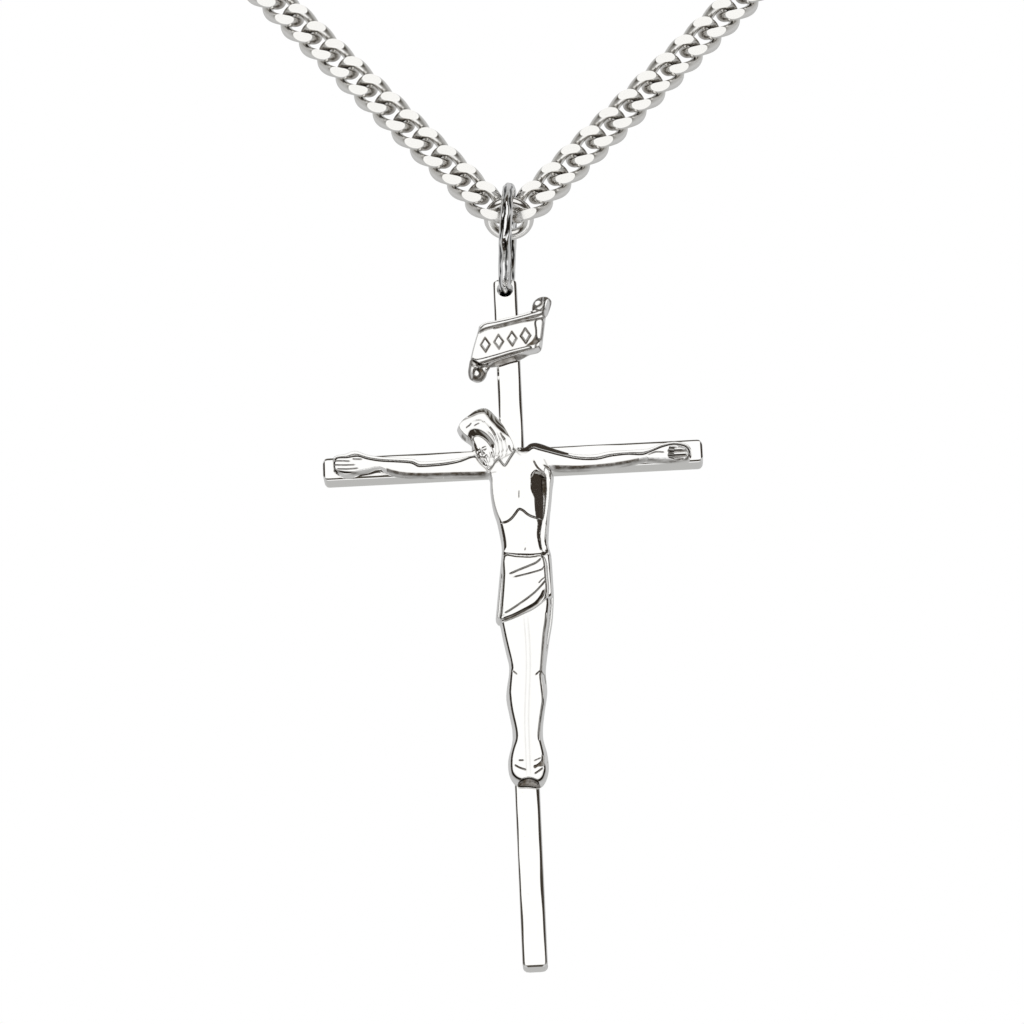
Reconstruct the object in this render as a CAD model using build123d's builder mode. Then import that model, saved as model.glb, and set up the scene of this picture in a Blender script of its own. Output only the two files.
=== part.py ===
from build123d import *
import math
import os

# Slim crucifix pendant of square bar on a flat curb chain, millimetres.
# Frame: origin at the crossing, on the back face of the bars.
# +X to the viewer's right, +Z up along the upright, front towards -Y.

# ---------------------------------------------------------------- driving dimensions
bar = 1.6                 # side of the square bar, both bars
bar_edge_r = 0.13         # rounding of the bars' long edges
bar_end_r = 0.09          # rounding of the edges round the bars' ends
cross_width = 25.4        # crossbar length
top_z = 13.1              # top of the upright
foot_z = -34.5            # foot of the upright
hole_r = 0.54             # ring hole through the upright
hole_z = top_z - 0.77

ring_R = 3.75             # jump ring centreline radius
ring_wire_r = 0.45
ring_lean = 4.8           # ring plane leans to the right of the upright, degrees
ring_drop = 0.045         # lowest point of the ring centreline, below the hole's centre
ring_cut_at = 62          # where the saw cut starts, degrees up from the front
ring_gap = 1.6            # saw cut, degrees of arc

chain_wire_r = 0.744 / 2
chain_lean = 2.6          # the chain's own vertical leans right of the upright, degrees
chain_above_ring = 1.903  # centre link above the ring's centre, along the ring's lean
loft_steps = 12           # steps between wire sections in each half of a link

curb_half_length = 1.345  # curb link centreline
curb_half_width = 0.880
curb_twist = 0.516        # height the centreline rises and falls out of its plane
curb_half_thick = 0.645   # half thickness after both faces are ground flat

oval_half_length = 1.346  # centre link centreline
oval_half_width = 1.192
oval_tilt = 44.4          # its upper side leans to the front, degrees

links_per_side = 13
pitch = 1.90              # link spacing along a strand
strand_angle = 46.3       # strand above the horizontal, in the chain plane, degrees
strand_forward = 0.369    # strands in front of the centre link's centre
first_out = 1.498         # first link from the centre link's centre: outward
first_up = 0.860          # and up

os.makedirs("parts", exist_ok=True)


def save(part, name):
    part.label = name
    export_step(part, f"parts/{name}.step")


# ---------------------------------------------------------------- cross
def edges_at(builder, axis, position):
    """Edges lying at one position along an axis."""
    return builder.edges().filter_by_position(axis, position - 0.01, position + 0.01)


def make_crossbar():
    with BuildPart() as crossbar:
        with BuildSketch(Plane.YZ.offset(-cross_width / 2)):
            with Locations((-bar / 2, 0)):
                RectangleRounded(bar, bar, bar_edge_r)
        extrude(amount=cross_width)
        fillet(edges_at(crossbar, Axis.X, -cross_width / 2)
               + edges_at(crossbar, Axis.X, cross_width / 2), bar_end_r)
        # front half of the lap joint is left open for the upright
        with BuildSketch(Plane.XZ.offset(bar / 2)):
            Rectangle(bar, bar * 2)
        extrude(amount=bar, mode=Mode.SUBTRACT)
    return crossbar.part


def make_upright():
    behind = Plane.XZ.offset(-bar)  # cuts start clear of the back face and run forward
    with BuildPart() as upright:
        with BuildSketch(Plane.XY.offset(foot_z)):
            with Locations((0, -bar / 2)):
                RectangleRounded(bar, bar, bar_edge_r)
        extrude(amount=top_z - foot_z)
        fillet(edges_at(upright, Axis.Z, foot_z) + edges_at(upright, Axis.Z, top_z), bar_end_r)
        # back half of the lap joint is left open for the crossbar
        with BuildSketch(behind):
            Rectangle(bar * 2, bar)
        extrude(amount=bar * 1.5, mode=Mode.SUBTRACT)
        # ring hole from back to front
        with BuildSketch(behind):
            with Locations((0, hole_z)):
                Circle(hole_r)
        extrude(amount=bar * 3, mode=Mode.SUBTRACT)
    return upright.part


save(make_crossbar(), "crossbar")
save(make_upright(), "cross_upright")

# ---------------------------------------------------------------- reliefs
# Outlines are (x, z) points on the front face of the bars.
arms_outline = [
    (-12.00, 0.55), (-11.60, 0.80), (-10.30, 0.72), (-9.90, 0.45), (-9.13, 0.25), (-7.84, 0.09),
    (-6.87, -0.04), (-6.23, -0.30), (-5.42, -0.27), (-4.21, -0.20), (-3.40, -0.12), (-2.66, 0.05),
    (-1.20, 0.30), (0.20, 0.45), (1.20, 0.48), (1.69, 0.60), (2.41, 0.30), (3.60, -0.18),
    (4.79, -0.42), (5.68, -0.45), (6.82, -0.28), (8.44, -0.30), (9.50, 0.09), (10.08, 0.25),
    (10.89, 0.29), (11.60, 0.12), (11.95, -0.20), (11.80, -0.70), (11.40, -0.88), (10.26, -0.85),
    (8.74, -0.72), (7.43, -0.91), (6.30, -1.02), (5.17, -1.06), (3.96, -1.10), (2.59, -1.05),
    (-1.74, -1.22), (-3.03, -1.17), (-4.65, -1.12), (-6.25, -0.97), (-7.07, -0.99), (-7.71, -0.90),
    (-8.35, -0.65), (-8.98, -0.42), (-9.63, -0.49), (-11.26, -0.62), (-11.95, -0.55)]
trunk_outline = [
    (-1.90, -0.20), (-1.10, 0.20), (0.20, 0.45), (1.60, 0.45), (2.40, 0.00), (2.58, -1.00),
    (2.45, -2.46), (2.20, -4.47), (2.08, -5.91), (2.20, -6.84), (2.38, -8.65), (2.32, -9.91),
    (1.96, -10.29), (1.74, -11.92), (1.42, -14.79), (1.47, -16.84), (1.12, -18.96), (1.30, -20.69),
    (1.34, -21.72), (0.90, -22.75), (-0.51, -22.66), (-1.02, -22.09), (-1.10, -21.05),
    (-0.80, -20.03), (-0.48, -19.58), (-0.82, -16.66), (-0.62, -14.70), (-0.95, -12.78),
    (-1.09, -11.52), (-1.21, -11.20), (-0.90, -6.90), (-0.72, -6.33), (-0.78, -5.69),
    (-0.97, -4.63), (-1.21, -3.97), (-1.51, -2.98), (-1.59, -2.09), (-1.80, -1.19)]
cloth_outline = [
    (-0.84, -6.85), (2.05, -6.88), (2.22, -8.65), (2.17, -9.85), (1.74, -10.10), (0.51, -10.95),
    (-1.14, -11.28), (-1.10, -10.80)]
hair_outline = [
    (-3.62, 2.00), (-3.35, 2.75), (-2.60, 3.35), (-1.80, 3.50), (-0.95, 3.00), (-0.45, 2.30),
    (-0.10, 1.30), (0.25, 0.50), (0.10, -0.35), (-0.60, -0.85), (-1.60, -0.95), (-2.45, -0.30),
    (-3.10, 0.70)]

plate_outline = [
    (-1.90, 9.20), (-1.55, 9.62), (0.10, 10.00), (1.77, 10.42), (2.60, 10.55), (2.70, 9.95),
    (2.50, 8.30), (2.25, 7.60), (0.84, 7.02), (-1.23, 6.62), (-2.10, 6.62), (-2.50, 7.30)]
# rolled end standing up at the right
upper_roll_outline = [
    (1.75, 10.25), (1.85, 10.95), (2.25, 11.42), (2.80, 11.48), (3.08, 11.15), (2.90, 10.40),
    (2.55, 10.10)]
# rolled end hanging down at the left
lower_roll_outline = [
    (-2.55, 7.20), (-2.72, 6.35), (-2.50, 5.80), (-2.05, 5.52), (-1.55, 5.70), (-1.25, 6.30),
    (-1.35, 6.80), (-2.05, 7.10)]

# layers: (outline, height off the bar, side taper in degrees)
corpus_layers = [
    (arms_outline, 0.78, 14),
    (trunk_outline, 1.15, 12),
    (cloth_outline, 1.30, 5),
    (hair_outline, 1.45, 16)]
scroll_layers = [
    (plate_outline, 0.62, 8),
    (upper_roll_outline, 0.80, 12),
    (lower_roll_outline, 0.80, 12)]


def make_relief(layers):
    """Tapered layers, fused, all rising from the front face of the bars."""
    with BuildPart() as relief:
        for outline, height, taper in layers:
            with BuildSketch(Plane.XZ.offset(bar)):
                with BuildLine():
                    Polyline(*outline, close=True)
                make_face()
            extrude(amount=height, taper=taper)
    return relief.part


save(make_relief(corpus_layers), "corpus")
save(make_relief(scroll_layers), "titulus_scroll")

# ---------------------------------------------------------------- directions
toward_front = Vector(0, -1, 0)


def leaning_axes(degrees):
    """Up and right directions, both turned to the right from the upright."""
    lean = math.radians(degrees)
    up = Vector(math.sin(lean), 0, math.cos(lean))
    right = Vector(math.cos(lean), 0, -math.sin(lean))
    return up, right


ring_up, ring_axis = leaning_axes(ring_lean)
chain_up, chain_right = leaning_axes(chain_lean)
ring_centre = Vector(0, -bar / 2, hole_z) + ring_up * (ring_R - ring_drop)
chain_centre = ring_centre + ring_up * chain_above_ring


# ---------------------------------------------------------------- jump ring
def make_jump_ring():
    cut_at = math.radians(ring_cut_at)
    radial = toward_front * math.cos(cut_at) + ring_up * math.sin(cut_at)
    wire_plane = Plane(origin=ring_centre + radial * ring_R, x_dir=radial,
                       z_dir=radial.cross(ring_axis))
    with BuildPart() as jump_ring:
        with BuildSketch(wire_plane):
            Circle(ring_wire_r)
        revolve(axis=Axis(ring_centre, ring_axis), revolution_arc=360 - ring_gap)
    return jump_ring.part


save(make_jump_ring(), "jump_ring")


# ---------------------------------------------------------------- chain
# The chain plane passes through the ring's centre and faces the front.
def half_loops(plane_at):
    """Wire section planes for the two halves of a link, from a plane at each angle."""
    return [[plane_at(math.pi * (half + i / loft_steps)) for i in range(loft_steps + 1)]
            for half in (0, 1)]


def curb_plane(angle):
    point = Vector(curb_half_length * math.cos(angle), curb_half_width * math.sin(angle),
                   -curb_twist * math.sin(2 * angle))
    tangent = Vector(-curb_half_length * math.sin(angle), curb_half_width * math.cos(angle),
                     -2 * curb_twist * math.cos(2 * angle)).normalized()
    return Plane(origin=point, z_dir=tangent, x_dir=Vector(0, 0, 1).cross(tangent))


def make_curb_link():
    """Twisted link for the left strand: length along X, faces ground flat across Z."""
    with BuildPart() as link:
        for planes in half_loops(curb_plane):
            for plane in planes:
                with BuildSketch(plane):
                    Circle(chain_wire_r)
            loft()
        for side in (1, -1):
            with BuildSketch(Plane.XY.offset(side * curb_half_thick)):
                Rectangle(8, 8)
            extrude(amount=side * 2, mode=Mode.SUBTRACT)
    return link.part


def mirrored_link(link):
    """The link of the other hand, for the right strand."""
    with BuildPart() as mirrored:
        add(link)
        mirror(about=Plane.YZ, mode=Mode.REPLACE)
    return mirrored.part


def centre_plane(angle):
    tilt = math.radians(oval_tilt)
    across = chain_up * math.cos(tilt) + toward_front * math.sin(tilt)
    point = (chain_centre + chain_right * (oval_half_length * math.cos(angle))
             + across * (oval_half_width * math.sin(angle)))
    tangent = (chain_right * (-oval_half_length * math.sin(angle))
               + across * (oval_half_width * math.cos(angle))).normalized()
    return Plane(origin=point, z_dir=tangent, x_dir=chain_right.cross(across))


def make_centre_link():
    """Plain oval link, wider than the curb links, turned so that both strands hook it."""
    with BuildPart() as link:
        for planes in half_loops(centre_plane):
            for plane in planes:
                with BuildSketch(plane):
                    Circle(chain_wire_r)
            loft()
    return link.part


# One row per link, from the centre outward: step from the link before, angle above
# the horizontal, roll about the link's length (negative turns its front face upward).
strand_links = ([(0.0, 48.7, -10.0), (1.874, strand_angle, -4.5)]
                + [(pitch, strand_angle, 0.0)] * (links_per_side - 2))


def strand_places():
    """Distance outward and up from the centre link, angle and roll in radians, per link."""
    places = []
    out, up = first_out, first_up
    last_angle = strand_links[0][1]
    for step, angle, roll in strand_links:
        # each step runs midway between the directions of its two links
        heading = math.radians((last_angle + angle) / 2)
        out += step * math.cos(heading)
        up += step * math.sin(heading)
        places.append((out, up, math.radians(angle), math.radians(roll)))
        last_angle = angle
    return places


def place_link(link, side, out, up, angle, roll):
    """A copy of the link in its strand; side is -1 for left, 1 for right."""
    centre = (chain_centre + chain_right * (side * out) + chain_up * up
              + toward_front * strand_forward)
    along = chain_right * math.cos(angle) + chain_up * (side * math.sin(angle))
    across = chain_up * math.cos(angle) - chain_right * (side * math.sin(angle))
    facing = toward_front * math.cos(roll) - across * math.sin(roll)
    with BuildPart() as placed:
        add(Plane(origin=centre, x_dir=along, z_dir=facing) * link)
    return placed.part


save(make_centre_link(), "chain_link_centre")

left_link = make_curb_link()
right_link = mirrored_link(left_link)
for number, place in enumerate(strand_places(), start=1):
    save(place_link(left_link, -1, *place), f"chain_link_left_{number:02d}")
    save(place_link(right_link, 1, *place), f"chain_link_right_{number:02d}")
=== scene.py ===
# Silver crucifix pendant: two square bars, cast figure and scroll, jump ring, chain.
# The bars cross at the origin with their backs on y = 0; the front faces -Y, up is +Z.
# Left and right are the viewer's: -X and +X. Sizes are in mm until a mesh is made.
import bpy
import bmesh
import math
import numpy as np
from mathutils import Matrix, Vector


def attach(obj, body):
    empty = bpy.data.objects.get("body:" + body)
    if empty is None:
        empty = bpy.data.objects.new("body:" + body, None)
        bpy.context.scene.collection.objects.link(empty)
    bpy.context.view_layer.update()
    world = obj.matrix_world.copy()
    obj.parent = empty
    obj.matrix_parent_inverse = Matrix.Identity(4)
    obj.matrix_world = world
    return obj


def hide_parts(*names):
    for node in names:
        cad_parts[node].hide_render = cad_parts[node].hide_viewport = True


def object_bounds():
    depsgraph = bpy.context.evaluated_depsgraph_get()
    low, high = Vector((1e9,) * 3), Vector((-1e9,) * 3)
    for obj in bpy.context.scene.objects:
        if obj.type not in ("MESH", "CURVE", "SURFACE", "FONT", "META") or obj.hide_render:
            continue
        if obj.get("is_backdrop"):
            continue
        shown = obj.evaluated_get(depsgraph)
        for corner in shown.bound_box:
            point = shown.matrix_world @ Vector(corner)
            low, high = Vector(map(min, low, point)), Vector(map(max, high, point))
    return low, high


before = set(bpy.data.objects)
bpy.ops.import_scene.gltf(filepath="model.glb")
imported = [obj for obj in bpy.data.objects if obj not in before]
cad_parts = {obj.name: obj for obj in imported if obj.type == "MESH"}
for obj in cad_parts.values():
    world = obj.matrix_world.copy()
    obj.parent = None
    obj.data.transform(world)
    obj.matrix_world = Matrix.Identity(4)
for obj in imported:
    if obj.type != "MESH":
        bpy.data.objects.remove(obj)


def plain(value):
    """The value with only types that JSON can hold."""
    if isinstance(value, dict):
        return {str(k): plain(item) for k, item in value.items()}
    if isinstance(value, (list, tuple, Vector)):
        return [plain(item) for item in value]
    return float(value) if isinstance(value, (int, float)) else value


bounds_cad = plain(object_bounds())
MM = 0.001
BAR = 1.6                 # side of the square bars
FRONT = -BAR              # y of their front faces
UPRIGHT_HALF = 23.8
UPRIGHT_TOP = 13.1
CROSSBAR_HALF = 12.7
HOLE_Z = UPRIGHT_TOP - 0.77
HOLE_RADIUS = 0.54
CELL = 0.028   # grid of the reliefs

# ---------------------------------------------------------------- figure, points are (x, z)
# Outer outlines, which together bound the figure
TRUNK = [
    (-1.676, -0.974), (-1.565, -1.548), (-1.574, -2.114), (-1.536, -2.824), (-1.417, -3.677),
    (-1.216, -4.463), (-1.057, -5.455), (-0.98, -6.161), (-1.005, -6.789), (-1.178, -8.107),
    (-1.331, -9.281), (-1.505, -10.659), (-1.569, -11.278), (-1.423, -11.561),
    (-1.296, -11.672), (-1.15, -12.61), (-0.963, -13.65), (-0.824, -14.412), (-0.865, -15.094),
    (-1.023, -15.905), (-1.096, -16.719), (-0.959, -17.678), (-0.779, -18.839),
    (-0.786, -19.312), (-0.895, -19.914), (-1.116, -20.698), (-1.168, -21.314),
    (-1.099, -21.855), (-0.897, -22.301), (-0.555, -22.633), (0.058, -22.678),
    (0.754, -22.767), (1.128, -22.504), (1.388, -21.914), (1.47, -21.247), (1.385, -20.394),
    (1.195, -19.548), (1.208, -18.67), (1.373, -17.594), (1.571, -16.516), (1.592, -15.904),
    (1.551, -15.219), (1.594, -14.537), (1.871, -12.904), (2.141, -11.575), (2.276, -10.344),
    (2.322, -9.612), (2.313, -8.639), (2.28, -7.033), (2.184, -6.538), (2.129, -5.975),
    (2.278, -4.438), (2.454, -3.178), (2.559, -2.336), (2.691, -1.492), (2.596, -0.919),
    (2.368, -0.053), (1.867, 0.687), (1.054, 0.445), (0.254, 0.488), (-0.422, 0.311),
    (-1.109, -0.151)]
ARM_LEFT = [
    (-0.822, 0.332), (-1.765, 0.169), (-2.668, 0.332), (-3.434, 0.216), (-4.24, 0.132),
    (-5.043, 0.089), (-6.113, 0.09), (-6.378, 0.19), (-6.707, 0.336), (-7.841, 0.468),
    (-8.841, 0.593), (-9.706, 0.783), (-10.367, 1.075), (-10.77, 1.054), (-11.109, 0.915),
    (-11.714, 0.834), (-11.973, 0.648), (-12.051, 0.224), (-12.008, -0.205),
    (-11.748, -0.497), (-11.32, -0.733), (-10.819, -0.76), (-10.166, -0.589),
    (-9.569, -0.507), (-8.977, -0.397), (-8.541, -0.577), (-7.868, -0.826), (-7.111, -0.995),
    (-5.886, -1.103), (-4.092, -1.157), (-1.842, -1.292), (-0.886, -1.229)]
ARM_RIGHT = [
    (0.26, 0.631), (0.795, 0.637), (1.175, 0.924), (1.612, 0.986), (2.074, 0.847),
    (2.598, 0.604), (3.077, 0.407), (4.124, 0.08), (4.974, -0.023), (5.642, -0.009),
    (6.471, 0.132), (7.854, 0.164), (9.077, 0.198), (9.772, 0.459), (10.198, 0.551),
    (10.888, 0.599), (11.344, 0.503), (11.799, 0.293), (11.996, -0.231), (11.825, -0.648),
    (11.565, -0.876), (10.201, -0.845), (8.94, -0.749), (8.856, -0.702), (7.738, -0.912),
    (6.197, -1.07), (4.706, -1.146), (3.853, -1.143), (2.669, -1.079), (2.192, -1.011),
    (1.138, -0.699)]
HAIR = [
    (-3.608, 2.158), (-3.55, 2.441), (-3.298, 2.75), (-2.918, 3.045), (-2.394, 3.426),
    (-1.776, 3.601), (-1.314, 3.418), (-0.846, 2.868), (-0.414, 2.293), (-0.154, 1.792),
    (0.105, 1.242), (0.296, 0.697), (0.253, 0.307), (-0.104, -0.243), (-0.501, -0.812),
    (-0.783, -0.527), (-0.936, -0.334), (-1.157, -0.542), (-1.399, -0.92), (-1.634, -1.12),
    (-1.809, -0.87), (-2.033, -0.66), (-2.254, -0.356), (-2.451, 0.012), (-2.604, 0.41),
    (-2.698, 0.797), (-2.725, 1.101), (-3.307, 1.605)]
# Raised surfaces within them
ARM_LEFT_TOP = [
    (-0.82, -0.067), (-1.759, -0.194), (-2.591, 0.014), (-3.428, -0.225), (-4.233, -0.352),
    (-5.035, -0.409), (-6.169, -0.419), (-6.465, -0.282), (-6.826, -0.113), (-7.823, 0.012),
    (-8.822, 0.122), (-9.684, 0.325), (-10.279, 0.542), (-11.016, 0.482), (-11.644, 0.488),
    (-11.823, 0.277), (-11.884, 0.003), (-11.839, -0.327), (-11.51, -0.501),
    (-10.845, -0.607), (-10.171, -0.608), (-9.448, -0.512), (-8.932, -0.448),
    (-8.471, -0.657), (-7.632, -0.915), (-6.996, -1.027), (-6.19, -1.049), (-5.129, -1.184),
    (-3.864, -1.209), (-2.4, -1.26), (-1.6, -1.232), (-0.861, -1.059)]
ARM_RIGHT_TOP = [
    (0.258, 0.216), (0.9, 0.096), (1.387, 0.397), (1.801, 0.268), (3.063, -0.148),
    (4.32, -0.465), (5.589, -0.533), (6.449, -0.373), (7.165, -0.305), (7.766, -0.288),
    (8.708, -0.353), (9.482, -0.068), (10.12, 0.154), (10.792, 0.26), (11.45, 0.111),
    (11.727, -0.16), (11.776, -0.462), (11.654, -0.739), (11.396, -0.824), (10.118, -0.848),
    (8.769, -0.704), (7.531, -0.964), (6.456, -1.168), (5.457, -1.186), (4.713, -1.16),
    (3.695, -1.155), (2.682, -1.051), (2.052, -0.854), (1.157, -0.6)]
CHEST = [
    (-1.437, -1.279), (-1.413, -1.846), (-1.422, -2.552), (-1.34, -3.332), (-1.139, -4.116),
    (-0.869, -4.797), (-0.704, -5.612), (-0.639, -6.454), (-0.689, -6.87), (1.613, -7.026),
    (1.584, -6.502), (1.489, -5.798), (1.599, -5.104), (1.732, -4.641), (1.442, -4.31),
    (1.394, -3.9), (1.451, -3.199), (1.261, -2.689), (1.135, -2.386), (1.249, -1.897),
    (1.164, -1.546), (1.322, -1.286), (1.573, -1.158), (1.861, -1.421), (2.117, -1.647),
    (2.423, -1.487), (2.614, -0.93), (2.64, -0.364), (1.86, 0.068), (1.199, 0.175),
    (0.666, 0.168), (0.273, 0.331), (-0.259, 0.36), (-1.146, -0.16)]
TORSO = [
    (-1.48, -0.884), (-1.46, -1.735), (-1.456, -2.301), (-1.397, -3.151), (-1.182, -4.078),
    (-0.93, -4.724), (-0.742, -5.645), (-0.678, -6.348), (-0.731, -6.974), (2.129, -7.126),
    (1.891, -6.554), (1.889, -5.995), (2.084, -4.603), (2.259, -3.347), (2.389, -2.224),
    (2.474, -1.521), (2.16, -0.512), (1.599, 0.372), (0.528, 0.287), (-0.832, -0.351)]
HOLLOW = [
    (1.34, -1.42), (1.56, -1.23), (1.9, -1.42), (2.25, -1.78), (2.24, -2.586), (2.14, -3.496),
    (2.0, -4.332), (1.72, -5.093), (1.59, -5.788), (1.68, -6.68), (1.53, -6.68),
    (1.4, -5.769), (1.49, -4.934), (1.38, -4.294), (1.35, -3.589), (1.34, -3.097),
    (1.14, -2.52), (1.17, -1.815)]
STRIP = [
    (2.08, -1.33), (2.19, -1.7), (2.185, -2.545), (2.085, -3.345), (1.95, -4.245),
    (1.8, -4.771), (1.7, -5.195), (1.61, -5.75), (1.7, -6.78), (1.93, -6.78), (1.86, -5.765),
    (1.934, -5.069), (2.127, -4.307), (2.29, -3.472), (2.397, -2.42), (2.43, -1.714),
    (2.35, -1.15), (2.15, -1.02)]
CLOTH = [
    (-0.978, -6.742), (-0.798, -6.892), (-0.046, -6.917), (0.875, -7.008), (1.605, -6.949),
    (2.11, -6.878), (2.204, -7.148), (2.248, -7.917), (2.277, -8.753), (2.298, -9.449),
    (2.251, -9.897), (1.879, -10.133), (1.326, -10.589), (0.522, -11.085), (-0.298, -11.346),
    (-0.961, -11.491), (-1.425, -11.604), (-1.561, -11.39), (-1.497, -10.773),
    (-1.323, -9.397), (-1.17, -8.224)]
CLOTH_TOP = [
    (-0.802, -7.121), (-0.039, -7.175), (0.88, -7.265), (1.607, -7.234), (1.848, -7.734),
    (1.876, -8.569), (1.902, -9.471), (1.785, -10.019), (1.469, -10.347), (0.927, -10.733),
    (0.258, -11.043), (-0.477, -11.349), (-1.205, -11.517), (-1.143, -10.969),
    (-0.982, -9.597), (-0.868, -8.425)]
LEGS = [
    (-1.177, -11.236), (-1.105, -11.584), (-0.897, -12.895), (-0.599, -14.555),
    (-0.653, -15.078), (-0.801, -16.284), (-0.804, -16.665), (-0.733, -17.618),
    (-0.514, -18.915), (-0.51, -19.59), (-0.717, -20.186), (-0.886, -20.836),
    (-0.92, -21.653), (-0.744, -22.084), (-0.303, -22.354), (0.217, -22.314),
    (0.727, -22.474), (1.061, -22.223), (1.214, -21.695), (1.145, -21.222), (1.13, -20.684),
    (1.011, -20.005), (0.918, -19.461), (0.993, -18.79), (1.161, -17.783), (1.294, -16.976),
    (1.272, -16.023), (1.21, -15.339), (1.287, -14.796), (1.524, -12.685), (1.733, -11.526),
    (1.887, -10.153), (1.389, -10.403), (0.054, -10.886)]
LEDGE = [
    (-0.514, -22.718), (-0.535, -22.463), (-0.17, -22.247), (0.252, -22.208),
    (0.665, -22.39), (0.817, -22.598), (0.76, -22.863)]
TOE_SHADE = [
    (1.083, -20.72), (1.168, -20.943), (1.168, -21.466), (1.048, -21.54), (0.768, -21.54),
    (0.592, -21.652), (0.487, -21.578), (0.508, -21.428), (0.662, -21.391), (0.873, -21.242),
    (0.999, -21.093), (1.034, -20.83)]
HAND_RIGHT = [
    (10.449, 0.072), (10.852, 0.136), (11.313, 0.047), (11.619, -0.183), (11.613, -0.524),
    (11.433, -0.77), (10.929, -0.856), (10.397, -0.856), (10.282, -0.523), (10.302, -0.169)]
HAND_RIDGE = [(10.386, 0.147), (10.318, -0.241), (10.3, -0.808)]
FINGERS = [
    [(-11.85, 0.264), (-11.423, 0.248), (-10.79, 0.186)],
    [(-11.897, -0.011), (-11.231, -0.061), (-10.457, -0.074)],
    [(-11.738, -0.304), (-11.038, -0.349), (-10.25, -0.334)],
    [(-10.652, 0.349), (-10.399, 0.314), (-9.979, 0.291)],
    [(10.437, -0.141), (10.97, -0.134), (11.53, -0.235)],
    [(10.421, -0.431), (10.953, -0.431), (11.613, -0.524)],
    [(10.341, -0.668), (10.939, -0.672), (11.402, -0.725)],
    [(8.998, -0.397), (9.559, -0.243), (10.129, -0.295)]]
LEG_GAP = [
    (0.546, -11.317), (0.599, -12.969), (0.568, -14.746), (0.391, -17.049), (0.306, -18.398),
    (0.286, -20.082), (0.27, -22.092)]
# x of the middle of the arms along x
ARM_MIDDLE = [
    (-12, 0), (-10.5, 0), (-8.9, -0.2), (-7, -0.5), (-5, -0.8), (-3, -0.75), (-1, -0.7),
    (0.3, -0.2), (2, -0.4), (4, -0.85), (6.5, -0.8), (8.8, -0.5), (10.5, -0.3), (11.8, -0.4)]
# Right edges of the chest and of the hollow with its painted dark reflection: (-z, x)
CHEST_EDGE = [
    (1.205, 1.56), (1.399, 1.32), (1.815, 1.17), (2.52, 1.14), (3.097, 1.33), (3.589, 1.35),
    (4.294, 1.38), (4.934, 1.49), (5.769, 1.4), (6.686, 1.53)]
HOLLOW_EDGE = [(1.3, 2.2), (2.5, 2.2), (4.2, 2.0), (5.2, 1.72), (6.6, 1.72)]

# Groups of engraved lines: depth, half width, darkening, lines; the darkening is tarnishing
# together with painted shade in the grooves
FOLD_UPPER = [
    (-0.487, -8.405), (0.189, -8.135), (0.857, -7.892), (1.293, -7.707), (1.587, -7.465)]
FOLD_LOWER = [
    (-0.9, -11.086), (-0.518, -10.878), (0.285, -10.362), (1.023, -9.834), (1.468, -9.408),
    (1.876, -8.945)]
CLOTH_LINES = [
    (0.07, 0.085, 1, [FOLD_UPPER]),
    (0.06, 0.075, 1, [[(-0.292, -8.616), (0.364, -8.491), (0.969, -8.357), (1.595, -8.188),
                       (1.774, -7.989)]]),
    (0.05, 0.070, 1, [[(1.357, -9.105), (1.57, -8.881), (1.821, -8.714)]]),
    (0.07, 0.085, 1, [FOLD_LOWER]),
    (0.10, 0.17, 1, [[(1.784, -9.543), (1.545, -10.048), (1.171, -10.484), (0.807, -10.72),
                      (0.258, -10.995), (-0.464, -11.329), (-1.168, -11.54)]]),
    (0.06, 0.085, 1, [[(1.625, -7.05), (1.797, -7.622), (1.837, -8.645), (1.876, -9.547),
                       (1.758, -10.136)]])]
BODY_LINES = [
    # ribs, sternum, navel
    (0.060, 0.105, 1, [[(-0.95, -4.78), (-0.548, -4.708), (-0.229, -4.49), (0.004, -4.22),
                        (0.285, -3.882), (0.547, -3.967), (0.803, -4.216), (1.104, -4.42),
                        (1.671, -4.638)]]),
    (0.030, 0.055, 1, [[(0.351, -2.559), (0.32, -3.077)]]),
    (0.035, 0.06, 1, [[(0.614, -6.591), (0.553, -6.774)]]),
    # right armpit
    (0.06, 0.085, 1, [[(1.409, -0.489), (1.654, -1.001), (2.208, -1.552)]]),
    (0.05, 0.075, 1, [[(2.052, -0.854), (2.4, -1.092), (2.62, -1.529)]]),
    # side of the right leg
    (0.055, 0.085, 1, [[(1.755, -11.105), (1.731, -11.654), (1.529, -12.798),
                        (1.259, -15.055), (1.196, -15.46), (1.306, -17.096),
                        (1.258, -17.433), (1.075, -18.343), (0.928, -19.327),
                        (0.908, -19.777)]]),
    # knees
    (0.04, 0.07, 1, [[(-0.565, -14.994), (-0.314, -15.246)],
                     [(0.881, -15.348), (1.212, -15.086), (1.42, -15.254)]]),
    # toes
    (0.05, 0.08, 1, [[(-0.726, -21.339), (-0.386, -21.557), (0.021, -21.719)],
                     [(0.539, -21.999), (0.831, -21.82), (1.091, -21.632)]]),
    (0.04, 0.07, 1, [[(-0.449, -21.052), (-0.119, -21.068)]]),
    (0.035, 0.06, 1, [[(0.538, -21.135), (0.998, -20.958)]])]
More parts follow.
